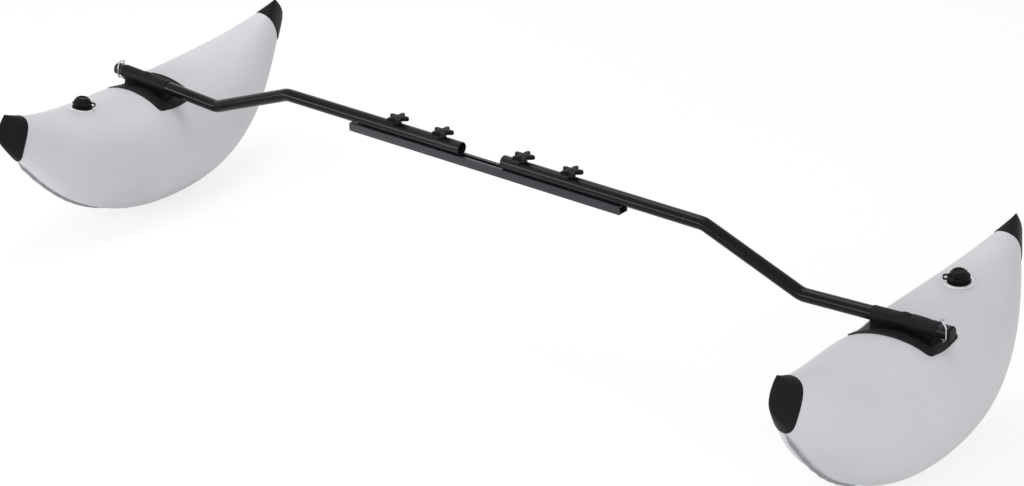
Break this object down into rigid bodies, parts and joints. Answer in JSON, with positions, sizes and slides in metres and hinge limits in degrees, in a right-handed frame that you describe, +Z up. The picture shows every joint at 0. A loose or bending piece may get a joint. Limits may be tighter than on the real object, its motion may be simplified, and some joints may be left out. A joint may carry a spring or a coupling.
{
  "type": "kayak outrigger",
  "caption": "Inflatable stabiliser floats on bent tube arms that slide along a slotted base rail across a kayak.",
  "frame": {"origin": "on the ground under the middle of the base rail, between the floats", "axes": "+X along the arms to the right float, +Y along the floats, +Z up"},
  "size_m": [2.2806, 0.8898, 0.3913],
  "materials": {
    "anodised": "black anodised, satin",
    "steel": "zinc plated wire and rod",
    "grey_pvc": "soft pale grey coated fabric, half matt",
    "clear_pvc": "pale welded film",
    "black_pvc": "black ribbed coated fabric, matt",
    "black_plastic": "black moulded plastic, fine texture"
  },
  "bodies": {
    "rail": {"base_rail": "anodised"},
    "right_arm_body": {"right_arm": "anodised", "right_arm_end_cap": "black_plastic", "right_inner_slot_nut": "steel", "right_outer_slot_nut": "steel", "right_lock_pin": "steel"},
    "right_inner_knob_body": {"right_inner_knob": "black_plastic", "right_inner_stud": "steel"},
    "right_outer_knob_body": {"right_outer_knob": "black_plastic", "right_outer_stud": "steel"},
    "right_bail_body": {"right_wire_bail": "steel"},
    "right_float_body": {"right_float_skin": "grey_pvc", "right_keel_seam": "grey_pvc", "right_nose_cap_a": "black_pvc", "right_nose_cap_b": "black_pvc", "right_deck_patch": "black_pvc", "right_sleeve": "black_pvc", "right_weld_ring": "clear_pvc", "right_valve_body": "black_plastic"},
    "right_valve_cap_body": {"right_valve_cap": "black_plastic", "right_valve_tether": "black_plastic"},
    "left_arm_body": {"left_arm": "anodised", "left_arm_end_cap": "black_plastic", "left_inner_slot_nut": "steel", "left_outer_slot_nut": "steel", "left_lock_pin": "steel"},
    "left_inner_knob_body": {"left_inner_knob": "black_plastic", "left_inner_stud": "steel"},
    "left_outer_knob_body": {"left_outer_knob": "black_plastic", "left_outer_stud": "steel"},
    "left_bail_body": {"left_wire_bail": "steel"},
    "left_float_body": {"left_float_skin": "grey_pvc", "left_keel_seam": "grey_pvc", "left_nose_cap_a": "black_pvc", "left_nose_cap_b": "black_pvc", "left_deck_patch": "black_pvc", "left_sleeve": "black_pvc", "left_weld_ring": "clear_pvc", "left_valve_body": "black_plastic"},
    "left_valve_cap_body": {"left_valve_cap": "black_plastic", "left_valve_tether": "black_plastic"}
  },
  "joints": [
    {"name": "right_arm_slide", "type": "slide", "parent": "rail", "child": "right_arm_body", "axis": [1, 0, 0], "range_m": [-0.05, 0.11]},
    {"name": "left_arm_slide", "type": "slide", "parent": "rail", "child": "left_arm_body", "axis": [-1, 0, 0], "range_m": [-0.05, 0.11]},
    {"name": "right_inner_knob_turn", "type": "hinge", "parent": "right_arm_body", "child": "right_inner_knob_body", "pos_m": [0.107, 0, 0.3625], "axis": [0, 0, 1], "range_deg": [0, 540]},
    {"name": "right_outer_knob_turn", "type": "hinge", "parent": "right_arm_body", "child": "right_outer_knob_body", "pos_m": [0.23, 0, 0.3625], "axis": [0, 0, 1], "range_deg": [0, 540]},
    {"name": "left_inner_knob_turn", "type": "hinge", "parent": "left_arm_body", "child": "left_inner_knob_body", "pos_m": [-0.107, 0, 0.3625], "axis": [0, 0, 1], "range_deg": [0, 540]},
    {"name": "left_outer_knob_turn", "type": "hinge", "parent": "left_arm_body", "child": "left_outer_knob_body", "pos_m": [-0.23, 0, 0.3625], "axis": [0, 0, 1], "range_deg": [0, 540]},
    {"name": "right_float_swing", "type": "hinge", "parent": "right_arm_body", "child": "right_float_body", "pos_m": [0.9966, 0, 0.29091], "axis": [0.9985, 0, 0.0544], "continuous": true},
    {"name": "left_float_swing", "type": "hinge", "parent": "left_arm_body", "child": "left_float_body", "pos_m": [-0.9966, 0, 0.29091], "axis": [-0.9985, 0, 0.0544], "continuous": true},
    {"name": "right_bail_swing", "type": "hinge", "parent": "right_arm_body", "child": "right_bail_body", "pos_m": [1.07792, 0, 0.27801], "axis": [0.4993, 0.866, 0.0272], "range_deg": [0, 65]},
    {"name": "left_bail_swing", "type": "hinge", "parent": "left_arm_body", "child": "left_bail_body", "pos_m": [-1.07792, 0, 0.27801], "axis": [0.8647, 0.5, -0.0471], "range_deg": [0, 40]},
    {"name": "right_valve_cap_turn", "type": "hinge", "parent": "right_float_body", "child": "right_valve_cap_body", "pos_m": [0.99663, 0.20302, 0.29029], "axis": [-0.0541, -0.1154, 0.9918], "range_deg": [0, 540]},
    {"name": "left_valve_cap_turn", "type": "hinge", "parent": "left_float_body", "child": "left_valve_cap_body", "pos_m": [-0.99663, -0.20302, 0.29029], "axis": [0.0541, 0.1154, 0.9918], "range_deg": [0, 540]}
  ]
}
